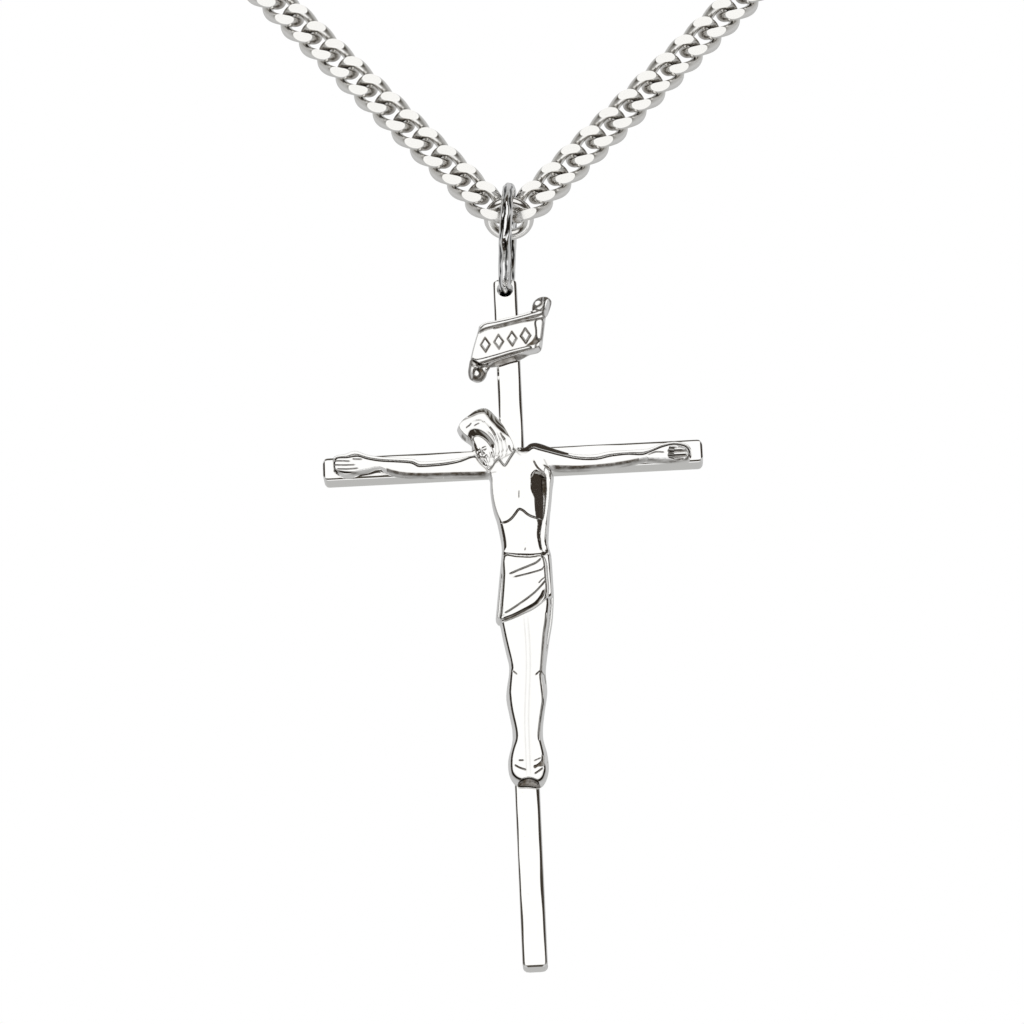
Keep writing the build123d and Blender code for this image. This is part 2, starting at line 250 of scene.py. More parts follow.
HAIR_LINES = [
    (0.030, 0.075, 0.30, [
        [(-2.55, 2.45), (-2.0, 2.52), (-1.45, 2.05), (-1.1, 1.45), (-0.92, 0.8),
         (-0.86, 0.2), (-0.95, -0.3)],
        [(-1.62, 1.72), (-1.3, 1.35), (-1.12, 0.85), (-1.08, 0.35), (-1.16, -0.15)],
        [(-0.95, 1.6), (-0.72, 1.05), (-0.62, 0.5), (-0.66, -0.05), (-0.72, -0.45)],
        [(-0.6, 1.3), (-0.4, 0.8), (-0.33, 0.3), (-0.42, -0.2)]]),
    (0.060, 0.085, 0.85, [
        [(-1.42, 2.0), (-1.22, 1.72), (-1.08, 1.4)],
        [(-0.72, 1.55), (-0.55, 1.22), (-0.42, 1.05)],
        [(-3.32, 1.72), (-3.2, 1.58), (-3.06, 1.42)]]),
    (0.045, 0.060, 0.85, [
        [(-3.0, 2.05), (-2.78, 2.2), (-2.62, 2.34)],
        [(-2.45, 2.12), (-2.25, 2.25), (-2.08, 2.3)]]),
    (0.060, 0.080, 0.7, [[(-0.2, 0.62), (-0.12, 0.35), (0.0, 0.12)]])]
# Points here are in the face's own frame: across, up
FACE_LINES = [
    # beard
    (0.022, 0.036, 0.5, [
        [(-0.20, -0.52), (-0.17, -0.70), (-0.08, -0.86)],
        [(0.03, -0.56), (0.02, -0.74), (0.04, -0.92)],
        [(0.22, -0.52), (0.20, -0.70), (0.12, -0.88)],
        [(0.38, -0.30), (0.38, -0.50), (0.30, -0.70)]]),
    # lids, brows
    (0.050, 0.042, 0.95, [
        [(-0.33, 0.010), (-0.21, -0.040), (-0.10, 0.005)],
        [(0.10, 0.005), (0.21, -0.040), (0.33, 0.010)]]),
    (0.030, 0.036, 0.6, [
        [(-0.35, 0.105), (-0.22, 0.150), (-0.09, 0.100)],
        [(0.09, 0.100), (0.22, 0.150), (0.36, 0.105)]]),
    # mouth, base of the nose
    (0.042, 0.036, 0.95, [[(-0.13, -0.412), (0.0, -0.426), (0.13, -0.412)]]),
    (0.035, 0.032, 0.8, [[(-0.11, -0.235), (-0.055, -0.262), (0.0, -0.250),
                          (0.055, -0.262), (0.11, -0.235)]])]
# Swellings: across, up, radius across, radius up, height, turn (rad).
# One that lies off the middle is mirrored to the other side.
FACE_BUMPS = [
    (0, 0.45, 0.42, 0.26, 0.030, 0),             # forehead
    (0.22, 0.155, 0.17, 0.045, 0.030, 0.10),     # brows
    (0.21, 0.02, 0.15, 0.085, -0.065, 0),        # sockets
    (0.21, 0.015, 0.105, 0.055, 0.060, 0),       # lids
    (0, -0.04, 0.055, 0.19, 0.070, 0),           # nose, its tip and nostrils
    (0, -0.195, 0.085, 0.060, 0.075, 0),
    (0.085, -0.215, 0.04, 0.035, 0.030, 0),
    (0, -0.275, 0.09, 0.022, -0.030, 0),         # under the nose
    (0.30, -0.18, 0.13, 0.12, 0.030, 0),         # cheeks
    (0, -0.385, 0.120, 0.026, 0.035, 0),         # lips
    (0, -0.462, 0.100, 0.030, 0.040, 0),
    (0, -0.424, 0.125, 0.014, -0.040, 0),        # mouth
    (0.12, -0.330, 0.12, 0.032, 0.035, 0.35)]    # moustache

# ---------------------------------------------------------------- scroll, points are (x, z)
PLATE = [
    (-1.933, 9.347), (-1.85, 9.65), (-1.484, 9.887), (-0.815, 9.993), (-0.144, 10.131),
    (0.814, 10.324), (1.775, 10.569), (2.212, 10.761), (2.674, 10.478), (2.654, 10.017),
    (2.52, 9.153), (2.422, 8.544), (2.296, 7.836), (2.023, 7.545), (1.45, 7.424),
    (0.82, 7.101), (0.104, 6.937), (-0.662, 6.724), (-1.327, 6.659), (-2.034, 6.723),
    (-2.49, 7.181), (-2.476, 7.537), (-2.256, 8.342)]
CURL_RIGHT = [
    (1.758, 10.621), (1.852, 11.13), (2.102, 11.425), (2.489, 11.558), (2.867, 11.511),
    (3.094, 11.267), (3.082, 11.01), (2.865, 10.405), (2.711, 10.157), (2.425, 10.122),
    (2.197, 10.34), (1.92, 10.509)]
CURL_LEFT = [
    (-2.552, 7.226), (-2.664, 6.774), (-2.727, 6.371), (-2.671, 5.962), (-2.397, 5.719),
    (-2.118, 5.617), (-1.783, 5.71), (-1.536, 6.001), (-1.428, 6.351), (-1.225, 6.696),
    (-1.551, 6.815), (-2.027, 6.739), (-2.35, 6.961)]
FAR_CORNER = [
    (1.2, 7.93), (1.62, 8.28), (1.88, 8.72), (2.02, 9.3), (2.06, 8.5), (2.22, 8.2),
    (1.92, 7.98)]
FIELD = [
    (-1.86, 8.995), (-1.117, 9.21), (-0.161, 9.413), (0.797, 9.642), (1.888, 9.658),
    (2.394, 9.835), (2.386, 9.119), (2.281, 8.358), (1.77, 8.029), (0.913, 7.923),
    (0.151, 7.787), (-0.9, 7.539), (-1.662, 7.403), (-2.301, 7.387), (-2.158, 8.041)]
TAB_LOWER = [(1.908, 7.879), (2.157, 8.171), (2.369, 8.16), (2.278, 7.706), (1.994, 7.696)]
# Parts of the scroll with an outline darkened by tarnishing and painted shade: height, outline
SCROLL_PARTS = [
    # upper bars
    (0.66, [(-1.871, 9.119), (-1.475, 9.557), (-0.807, 9.674), (0.1, 9.828),
            (1.056, 10.032), (2.016, 10.286), (2.453, 10.518), (2.554, 10.667),
            (2.438, 10.186), (1.863, 10.038), (1.0, 9.83), (-0.147, 9.586),
            (-1.103, 9.383), (-1.582, 9.256)]),
    (0.58, [(-0.823, 9.357), (0.323, 9.576), (1.281, 9.804), (1.998, 9.944),
            (2.432, 10.099), (2.47, 9.892), (1.898, 9.822), (0.801, 9.677),
            (-0.442, 9.413)]),
    # lower bars
    (0.60, [(-2.422, 7.201), (-2.049, 7.078), (-0.905, 7.321), (0.146, 7.594),
            (1.196, 7.816), (1.481, 7.852), (1.474, 7.699), (0.33, 7.457),
            (-0.913, 7.118), (-2.011, 6.822), (-2.339, 6.891)]),
    (0.62, [(-2.393, 6.6), (-2.017, 6.579), (-0.918, 6.9), (0.325, 7.264),
            (1.425, 7.585), (1.758, 7.643), (2.095, 7.777), (2.182, 7.62),
            (1.797, 7.437), (0.703, 7.269), (-0.538, 6.955), (-1.687, 6.561),
            (-2.069, 6.43)]),
    # right curl: band, eye, sweep
    (0.74, [(2.58, 10.136), (2.602, 10.622), (2.691, 11.028), (2.865, 11.198),
            (3.0, 11.037), (2.964, 10.756), (2.823, 10.251), (2.721, 10.103)]),
    (0.64, [(2.001, 11.099), (2.196, 11.216), (2.428, 11.101), (2.468, 10.919),
            (2.269, 10.724), (2.033, 10.737), (1.946, 10.922)]),
    (0.60, [(1.785, 10.494), (2.076, 10.632), (2.345, 10.823), (2.475, 11.072),
            (2.536, 11.378), (2.594, 11.4), (2.572, 10.913), (2.452, 10.56),
            (2.159, 10.371), (1.822, 10.261)]),
    # left curl: band, eye, inside
    (0.74, [(-2.457, 6.665), (-2.571, 6.164), (-2.535, 5.858), (-2.418, 5.852),
            (-2.35, 6.152), (-2.159, 6.446), (-2.016, 6.489), (-2.291, 6.707)]),
    (0.62, [(-2.29, 6.33), (-2.079, 6.293), (-1.946, 6.057), (-2.047, 5.885),
            (-2.237, 5.87), (-2.333, 6.078)]),
    (0.52, [(-1.791, 6.52), (-1.413, 6.524), (-1.519, 6.226), (-1.662, 6.183),
            (-1.727, 6.338)]),
    # tab at the right edge
    (0.60, [(1.989, 9.652), (2.419, 9.731), (2.392, 9.118), (2.266, 8.41),
            (2.121, 8.342), (2.011, 8.527), (2.01, 9.037)])]


# ---------------------------------------------------------------- materials
MIX_FACTOR, MIX_A, MIX_B = 0, 6, 7   # colour sockets of the Mix node


def add_node(tree, kind, inputs=None, **settings):
    """Add a node; inputs maps each socket to a value or to the output that feeds it."""
    node = tree.nodes.new("ShaderNode" + kind)
    for name, value in settings.items():
        setattr(node, name, value)
    for socket, value in (inputs or {}).items():
        if isinstance(value, bpy.types.NodeSocket):
            tree.links.new(value, node.inputs[socket])
        else:
            node.inputs[socket].default_value = value
    return node


def noise(tree, vector, scale, detail, **more):
    inputs = {"Vector": vector, "Scale": scale, "Detail": detail, **more}
    return add_node(tree, "TexNoise", inputs).outputs["Fac"]


def remap(tree, value, source, target=(0, 1), **settings):
    inputs = {"Value": value, "From Min": source[0], "From Max": source[1],
              "To Min": target[0], "To Max": target[1]}
    return add_node(tree, "MapRange", inputs, **settings).outputs[0]


def silver(name, lumps, lump_scale, base=(0.955, 0.95, 0.94), rough=0.07,
           tarnish_and_shade=(0.20, 0.165, 0.12)):
    """Polished silver; the mesh attribute crease mixes in the dark colour, which is partly
    tarnishing and partly painted shade and painted dark reflection.
    """
    material = bpy.data.materials.new(name)
    material.use_nodes = True
    tree = material.node_tree
    tree.nodes.clear()
    output = add_node(tree, "OutputMaterial")
    shader = add_node(tree, "BsdfPrincipled", {"Metallic": 1.0})
    tree.links.new(shader.outputs[0], output.inputs[0])
    place = add_node(tree, "TexCoord").outputs["Object"]
    # soft clouding of the polish
    cloud = noise(tree, place, scale=420.0, detail=4.0)
    roughness = remap(tree, cloud, (0.35, 0.75), (rough * 0.7, rough * 1.7))
    tree.links.new(roughness, shader.inputs["Roughness"])
    # dark colour in the recesses and on some slopes: partly tarnishing, partly painted shade
    # and painted dark reflection
    patina_and_painted_shade = add_node(tree, "Attribute", attribute_name="patina_and_painted_shade").outputs["Fac"]
    mottle = noise(tree, place, scale=2600.0, detail=5.0)
    mottle = remap(tree, mottle, (0.3, 0.7), (0.7, 1.15))
    amount = add_node(tree, "Math", {0: patina_and_painted_shade, 1: mottle},
                      operation="MULTIPLY", use_clamp=True)
    colour = add_node(tree, "Mix", {MIX_FACTOR: amount.outputs[0], MIX_A: (*base, 1),
                                    MIX_B: (*tarnish_and_shade, 1)}, data_type="RGBA")
    # tiny dull specks
    specks = noise(tree, place, scale=5200.0, detail=2.0)
    specks = remap(tree, specks, (0.70, 0.80), (0.0, 0.25))
    colour = add_node(tree, "Mix", {MIX_FACTOR: specks, MIX_A: colour.outputs[2],
                                    MIX_B: (0.62, 0.59, 0.53, 1)}, data_type="RGBA")
    tree.links.new(colour.outputs[2], shader.inputs["Base Color"])
    # hand-polished unevenness, then fine scratches
    waves = noise(tree, place, scale=lump_scale, detail=2.0, Roughness=0.45)
    uneven = add_node(tree, "Bump", {"Strength": lumps, "Distance": 0.00006,
                                     "Height": waves})
    stretched = add_node(tree, "Mapping", {
        "Vector": place, "Scale": (9000.0, 9000.0, 900.0), "Rotation": (0.2, 0.5, 0.1)})
    lines = noise(tree, stretched.outputs[0], scale=1.0, detail=3.0)
    scratched = add_node(tree, "Bump", {"Strength": 0.10, "Distance": 0.000004,
                                        "Height": lines, "Normal": uneven.outputs[0]})
    tree.links.new(scratched.outputs[0], shader.inputs["Normal"])
    return material


MATERIALS = {
    "cross_silver": silver("cross_silver_polished", lumps=0.10, lump_scale=500.0),
    "cast_silver": silver("cast_silver_polished", lumps=0.16, lump_scale=1500.0,
                          rough=0.08, tarnish_and_shade=(0.088, 0.070, 0.050)),
    # the ring's near-black dark colour is painted dark reflection in its flute valleys
    "ring_silver": silver("ring_silver_hammered", lumps=0.7, lump_scale=2300.0,
                          base=(0.92, 0.92, 0.92), tarnish_and_shade=(0.035, 0.035, 0.035)),
    "chain_silver": silver("chain_silver_ground", lumps=0.25, lump_scale=1300.0,
                           base=(0.885, 0.875, 0.855), rough=0.17),
}


def dress(piece, slot):
    piece.data.materials.clear()
    piece.data.materials.append(MATERIALS[slot])


def hand_over(piece, node, part, slot):
    """Give a finished piece its silver and put it in place of its CAD node."""
    dress(piece, slot)
    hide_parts(node)
    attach(piece, part)


# ---------------------------------------------------------------- mesh helpers
def link_object(name, mesh):
    piece = bpy.data.objects.new(name, mesh)
    bpy.context.scene.collection.objects.link(piece)
    return piece


def mesh_object(name, points, faces, smooth=True):
    mesh = bpy.data.meshes.new(name)
    mesh.from_pydata([tuple(float(c) * MM for c in point) for point in points], [], faces)
    mesh.validate()
    mesh.update()
    if smooth:
        mesh.polygons.foreach_set("use_smooth", [True] * len(mesh.polygons))
    return link_object(name, mesh)


def set_patina_and_painted_shade(piece, values):
    attribute = piece.data.attributes.new("patina_and_painted_shade", "FLOAT", "POINT")
    attribute.data.foreach_set("value", np.asarray(values, np.float32))


def recalculate_normals(piece):
    shape = bmesh.new()
    shape.from_mesh(piece.data)
    bmesh.ops.recalc_face_normals(shape, faces=shape.faces[:])
    shape.to_mesh(piece.data)
    shape.free()


def unit(vector):
    vector = np.asarray(vector, float)
    return vector / np.linalg.norm(vector)


def skin(rows, sides, closed=False):
    """Quads between successive rows of points, each row a loop."""
    faces = []
    for i in range(rows if closed else rows - 1):
        k = (i + 1) % rows
        for j in range(sides):
            m = (j + 1) % sides
            faces.append((i * sides + j, i * sides + m, k * sides + m, k * sides + j))
    return faces


def end_loops(rows, sides):
    return tuple(range(sides)), tuple(range((rows - 1) * sides, rows * sides))


def tube(curve, radius, rows, sides, closed=True):
    """Tube of radius(t, angle) about curve(t), t from 0 to 1, carried along without twist."""
    stations = np.arange(rows) / rows if closed else np.linspace(0, 1, rows)
    centres = np.array([curve(t) for t in stations])
    step = 1e-4
    tangents = np.array([unit(curve(t + step) - curve(t - step)) for t in stations])
    across = [unit(np.cross(tangents[0], [0.31, 0.52, 0.79]))]   # any start direction
    for tangent in tangents[1:]:
        across.append(unit(across[-1] - tangent * np.dot(across[-1], tangent)))
    across = np.array(across)
    if closed:
        # spread the mismatch at the seam over the whole loop
        first = tangents[0]
        last = unit(across[-1] - first * np.dot(across[-1], first))
        twist = math.atan2(np.dot(np.cross(last, across[0]), first),
                           np.dot(last, across[0]))
        for i in range(rows):
            turn = twist * i / rows
            across[i] = (across[i] * math.cos(turn)
                         + np.cross(tangents[i], across[i]) * math.sin(turn))
    beside = np.cross(tangents, across)
    points = []
    for i in range(rows):
        for j in range(sides):
            angle = 2 * math.pi * j / sides
            offset = math.cos(angle) * across[i] + math.sin(angle) * beside[i]
            points.append(centres[i] + radius(stations[i], angle) * offset)
    faces = skin(rows, sides, closed)
    if not closed:
        first, last = end_loops(rows, sides)
        faces += [first, last[::-1]]
    return np.array(points), faces


# ---------------------------------------------------------------- jump ring
def leaning(degrees):
    """Up and right directions, leant to the right in the XZ plane."""
    lean = math.radians(degrees)
    return (np.array([math.sin(lean), 0, math.cos(lean)]),
            np.array([math.cos(lean), 0, -math.sin(lean)]))


RING_RADIUS, RING_WIRE = 3.75, 0.45
RING_ROWS, RING_SIDES = 520, 72
RING_GAP = math.radians(1.6)
RING_CUT = math.radians(62.0)    # place of the gap, from the front up over the top
RING_UP, _ = leaning(4.8)
CHAIN_UP, CHAIN_RIGHT = leaning(2.6)
FORWARD = np.array([0.0, -1.0, 0.0])
RING_CENTRE = np.array([0.0, -BAR / 2, HOLE_Z]) + (RING_RADIUS - 0.045) * RING_UP
CHAIN_CENTRE = RING_CENTRE + RING_UP * 1.903
# Small ripples: amplitude, waves along the ring, waves around the wire, phase
RIPPLES = [(0.010, 9, 2, 0.4), (0.009, 15, -1, 1.9), (0.007, 23, 3, 0.8), (0.006, 31, -2, 2.7)]


def ring_curve(t):
    angle = RING_CUT + RING_GAP / 2 + t * (2 * math.pi - RING_GAP)
    return RING_CENTRE + RING_RADIUS * (math.cos(angle) * FORWARD + math.sin(angle) * RING_UP)


def flute(t, angle):
    """Six wandering flutes round the wire, with ripples over them."""
    along = 2 * math.pi * t
    wander = (1.6 * math.sin(3 * along + 0.5) + 0.9 * math.sin(8 * along)
              + 0.5 * math.sin(17 * along + 1.0))
    height = 0.040 * math.cos(6 * angle + wander)
    for amplitude, waves, turns, phase in RIPPLES:
        height += amplitude * math.sin(waves * along + turns * angle + phase)
    return height


def ring_radius(t, angle):
    from_end = min(t, 1 - t) * 2 * math.pi * RING_RADIUS
    ease = min(1.0, from_end / 0.05)
    rounding = 0.90 + 0.10 * math.sqrt(max(0.0, 1 - (1 - ease) ** 2))
    return RING_WIRE * (1 - 0.068 + flute(t, angle)) * rounding


def make_ring():
    ring = mesh_object("ring_wire", *tube(ring_curve, ring_radius, RING_ROWS, RING_SIDES,
                                          closed=False))
    ring.data.set_sharp_from_angle(angle=math.radians(50))
    # painted dark reflection: the flute valleys are darkened towards the near-black ring
    # colour
    patina_and_painted_shade = []
    for i in range(RING_ROWS):
        for j in range(RING_SIDES):
            height = flute(i / (RING_ROWS - 1), 2 * math.pi * j / RING_SIDES)
            patina_and_painted_shade.append(min(max((-0.010 - height) / 0.018, 0.0), 1.0) * 0.98)
    set_patina_and_painted_shade(ring, patina_and_painted_shade)
    hand_over(ring, "jump_ring", "ring", "ring_silver")


make_ring()

# ---------------------------------------------------------------- chain
LINK_LONG, LINK_WIDE, LINK_TWIST = 1.345, 0.880, 0.516   # half sizes of the twisted oval
LINK_WIRE = 0.372
LINK_FLAT = 0.645         # the links are ground flat at this distance in front and behind
LINK_COUNT = 13
LINK_PITCH, FIRST_PITCH = 1.90, 1.874
LINK_START = (-1.498, 0.860)   # first left link from the centre link: right, up
LINK_SLOPE = 46.3
FIRST_LINKS = [(48.7, -10.0), (LINK_SLOPE, -4.5)]   # slope and roll, deg


def link_radius(t, angle):
    return LINK_WIRE


def link_wire(mirror):
    """Points and faces of one link about its own centre."""
    def curve(t):
        angle = 2 * math.pi * t
        return np.array([mirror * LINK_LONG * math.cos(angle), LINK_WIDE * math.sin(angle),
                         -LINK_TWIST * math.sin(2 * angle)])

    return tube(curve, link_radius, 160, 36)


def make_link(name, wire, centre, axes):
    points, faces = wire
    mesh = bpy.data.meshes.new(name)
    shape = bmesh.new()
    verts = [shape.verts.new(point) for point in points]
    for face in faces:
        shape.faces.new([verts[i] for i in face])
    for side in (1, -1):
        bmesh.ops.bisect_plane(shape, geom=shape.verts[:] + shape.edges[:] + shape.faces[:],
                               dist=1e-6, plane_co=(0, 0, side * LINK_FLAT),
                               plane_no=(0, 0, side))
        for vert in shape.verts:
            if side * vert.co.z > LINK_FLAT:
                vert.co.z = side * LINK_FLAT
    shape.normal_update()
    for edge in shape.edges:
        if len(edge.link_faces) == 2 and edge.calc_face_angle(0.0) > math.radians(15):
            edge.smooth = False
    for face in shape.faces:
        face.smooth = True
    bmesh.ops.recalc_face_normals(shape, faces=shape.faces[:])
    local = np.array([vert.co[:] for vert in shape.verts])
    # the wire that dips into its neighbours is darkened: some tarnishing, and painted shade
    # between the links
    x, y, z = np.abs(local).T
    tarnish_and_shade = np.clip((0.62 - y) / 0.4, 0, 1) * np.clip((x - 0.75) / 0.3, 0, 1)
    tarnish_and_shade = tarnish_and_shade * np.clip((LINK_FLAT - z) / 0.25, 0, 1) * 0.60
    for vert, point in zip(shape.verts, centre + local @ np.array(axes)):
        vert.co = Vector([c * MM for c in point])
    shape.to_mesh(mesh)
    shape.free()
    link = link_object(name, mesh)
    set_patina_and_painted_shade(link, tarnish_and_shade)
    return link


def link_places():
    """Right, up, slope and roll of each left link, from the centre link outwards."""
    right, up = LINK_START
    places = []
    for k in range(LINK_COUNT):
        slope, roll = FIRST_LINKS[k] if k < 2 else (LINK_SLOPE, 0.0)
        if k:
            between = math.radians((previous + slope) / 2)
            pitch = FIRST_PITCH if k == 1 else LINK_PITCH
            right -= pitch * math.cos(between)
            up += pitch * math.sin(between)
        previous = slope
        places.append((right, up, math.radians(slope), math.radians(roll)))
    return places


def make_chain():
    places = link_places()
    for side, side_name in ((-1, "left"), (1, "right")):
        wire = link_wire(-side)
        for k, (right, up, slope, roll) in enumerate(places, 1):
            centre = (CHAIN_CENTRE + CHAIN_RIGHT * (-side * right) + CHAIN_UP * up
                      + FORWARD * 0.369)
            along = CHAIN_RIGHT * math.cos(slope) + side * CHAIN_UP * math.sin(slope)
            across = -side * CHAIN_RIGHT * math.sin(slope) + CHAIN_UP * math.cos(slope)
            outward = FORWARD * math.cos(roll) - across * math.sin(roll)
            name = "link_%s_%02d" % (side_name, k)
            link = make_link(name + "_wire", wire, centre,
                             (along, np.cross(outward, along), outward))
            hand_over(link, "chain_" + name, name, "chain_silver") if False else \
                hand_over(link, "chain_link_%s_%02d" % (side_name, k), name, "chain_silver")


def make_centre_link():
    tilt = math.radians(44.4)
    upward = CHAIN_UP * math.cos(tilt) + FORWARD * math.sin(tilt)

    def curve(t):
        angle = 2 * math.pi * t
        return (CHAIN_CENTRE + 1.346 * math.cos(angle) * CHAIN_RIGHT
                + 1.192 * math.sin(angle) * upward)

    link = mesh_object("centre_link_wire", *tube(curve, link_radius, 200, 40))
    hand_over(link, "chain_link_centre", "link_centre", "chain_silver")


make_chain()
make_centre_link()


# ---------------------------------------------------------------- relief helpers
def spline(points, closed=True, steps=3):
    """Catmull-Rom curve through the points."""
    points = np.array(points, float)
    count = len(points)
    curve = []
    for i in range(count if closed else count - 1):
        a, b, c, d = (points[j % count if closed else min(max(j, 0), count - 1)]
                      for j in range(i - 1, i + 3))
        for k in range(steps):
            t = k / steps
            curve.append(0.5 * ((2 * b) + (-a + c) * t + (2 * a - 5 * b + 4 * c - d) * t * t
                                + (-a + 3 * b - 3 * c + d) * t ** 3))
    if not closed:
        curve.append(points[-1])
    return np.array(curve)


def segment_distance(x, z, start, end):
    """Squared distance to a segment, and the place along it from 0 to 1."""
    run = end - start
    t = np.clip(((x - start[0]) * run[0] + (z - start[1]) * run[1])
                / max(float(run @ run), 1e-12), 0, 1)
    dx, dz = x - (start[0] + t * run[0]), z - (start[1] + t * run[1])
    return dx * dx + dz * dz, t


def within_reach(points, x, z, margin):
    low, high = points.min(0) - margin, points.max(0) + margin
    return (x > low[0]) & (x < high[0]) & (z > low[1]) & (z < high[1])


def inside_distance(outline, x, z, margin=1.0, smooth=True):
    """Distance to a closed outline: positive inside, negative outside, at least -margin."""
    points = spline(outline) if smooth else np.array(outline, float)
    result = np.full(x.shape, -margin)
    near = within_reach(points, x, z, margin)
    x, z = x[near], z[near]
    squared = np.full(x.shape, 1e9)
    inside = np.zeros(x.shape, bool)
    for a, b in zip(points, np.roll(points, -1, axis=0)):
        squared = np.minimum(squared, segment_distance(x, z, a, b)[0])
        if a[1] != b[1]:
            inside ^= (((a[1] > z) != (b[1] > z))
                       & (x < (b[0] - a[0]) * (z - a[1]) / (b[1] - a[1]) + a[0]))
    distance = np.sqrt(squared)
    result[near] = np.maximum(np.where(inside, distance, -distance), -margin)
    return result


def line_distance(line, x, z, margin=0.5, steps=4):
    """Distance to an open smooth line, up to margin, and the place along it from 0 to 1."""
    points = spline(line, closed=False, steps=steps)
    result = np.full(x.shape, margin)
    along = np.zeros(x.shape)
    near = within_reach(points, x, z, margin)
    x, z = x[near], z[near]
    squared = np.full(x.shape, 1e9)
    place = np.zeros(x.shape)
    for i in range(len(points) - 1):
        candidate, t = segment_distance(x, z, points[i], points[i + 1])
        nearer = candidate < squared
        squared = np.where(nearer, candidate, squared)
        place = np.where(nearer, (i + t) / (len(points) - 1), place)
    result[near] = np.minimum(np.sqrt(squared), margin)
    along[near] = place
    return result, along


def interpolate(value, table):
    return np.interp(value, *zip(*table))


def fade(amount, width):
    """0 for a negative amount, rising to 1 over the width."""
    return np.clip(amount / width, 0, 1)


def band(offset, width):
    """Soft band, 1 where the offset is 0."""
    return np.exp(-(offset / width) ** 2)


def plateau(distance, height, drop=0.082, bevel=0.165):
    """Flat top with a narrow bevel along its outline and a steep flank outside it."""
    return (height - (drop / bevel) * np.clip(bevel / 2 - distance, 0, bevel)
            - 2.6 * np.maximum(0, -bevel / 2 - distance))


class Surface:
    """Height in mm and darkening from 0 to 1 at points x, z; the darkening is partly
    tarnishing and partly painted shade and painted dark reflection.

    inset is each point's distance inside the outline of the whole relief."""

    def __init__(self, x, z, inset, height):
        self.x, self.z, self.inset = x, z, inset
        self.height = np.full(x.shape, height)
        self.tarnish_and_shade = np.zeros(x.shape)

    def inside(self, outline, margin=1.0, smooth=True):
        return inside_distance(outline, self.x, self.z, margin, smooth)

    def rise_to(self, height):
        self.height = np.maximum(self.height, height)

    def darken(self, amount):
        self.tarnish_and_shade = np.maximum(self.tarnish_and_shade, amount)

    def add_part(self, outline, height, drop=0.082, bevel=0.165):
        """Plateau with a side slope to the outer outline and an edge darkened by tarnishing
        and painted dark reflection.
        """
        distance = self.inside(outline)
        self.rise_to(plateau(distance, height, drop, bevel))
        outside = np.maximum(-distance, 0)
        reach = self.inset + outside
        rim = 0.15
        slope = rim + (height - 0.10 - rim) * self.inset / np.maximum(reach, 1e-4)
        self.rise_to(np.where(distance < 0, slope, 0) * fade(0.66 - reach, 0.10))
        # tarnishing and painted dark reflection along each part's outline, left off the right
        # side of the torso
        no_painted_edge = (self.x > 1.3) & (self.z < -1.3) & (self.z > -7)   # right side of the torso
        self.darken(np.where(no_painted_edge, 0.0, 0.50) * band(distance - 0.02, 0.045)
                    * fade(0.60 - self.inset, 0.1))
        return distance

    def draw_line(self, line, depth, half, tarnish_and_shade, tarnish_and_shade_half, where=True, steps=4):
        """Groove that fades at its ends, no steeper than 1 in 2, with tarnishing and painted
        shade in it.
        """
        distance, along = line_distance(line, self.x, self.z, steps=steps)
        to_end = np.minimum(along, 1 - along)
        self.height = self.height - min(depth, 0.50 * half) * (
            np.clip(1 - distance / half, 0, 1) * np.clip(to_end / 0.12 + 0.25, 0, 1))
        self.darken(tarnish_and_shade * (np.clip(1.3 - distance / tarnish_and_shade_half, 0, 1)
                               * np.clip(to_end / 0.10 + 0.3, 0, 1)) * where)

    def draw_lines(self, groups, tarnish_and_shade_share, **options):
        """Groups of lines; tarnish_and_shade_share is the width of the tarnishing and painted
        shade over the groove width.
        """
        for depth, half, tarnish_and_shade, lines in groups:
            for line in lines:
                self.draw_line(line, depth, half, tarnish_and_shade, half * tarnish_and_shade_share, **options)


